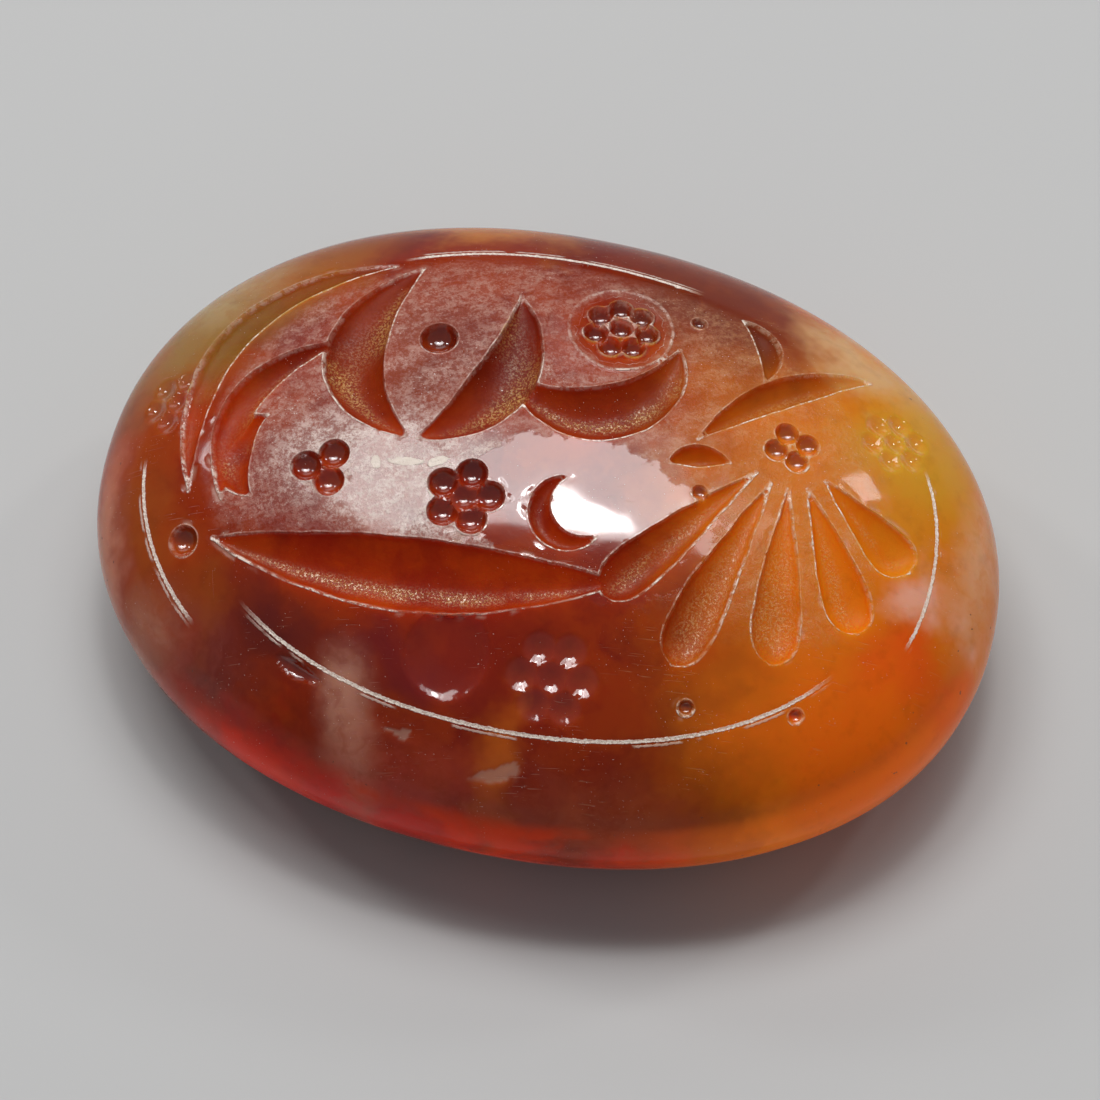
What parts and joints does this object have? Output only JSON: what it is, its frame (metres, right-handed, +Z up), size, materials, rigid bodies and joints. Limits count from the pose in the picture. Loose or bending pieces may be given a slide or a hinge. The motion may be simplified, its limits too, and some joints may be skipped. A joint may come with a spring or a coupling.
{
  "type": "intaglio gem",
  "caption": "Oval domed carnelian intaglio with drilled pellet rosettes, crescents, leaves and a petal fan cut into its face.",
  "frame": {"origin": "centre of the flat ground back, where the stone rests, under the middle of the oval", "axes": "+X along the oval's length, +Y across its width, +Z up out of the engraved face"},
  "size_m": [0.022, 0.016, 0.0075],
  "materials": {
    "carnelian": "gloss"
  },
  "bodies": {
    "root": {"engraved_stone": "carnelian"}
  },
  "joints": []
}
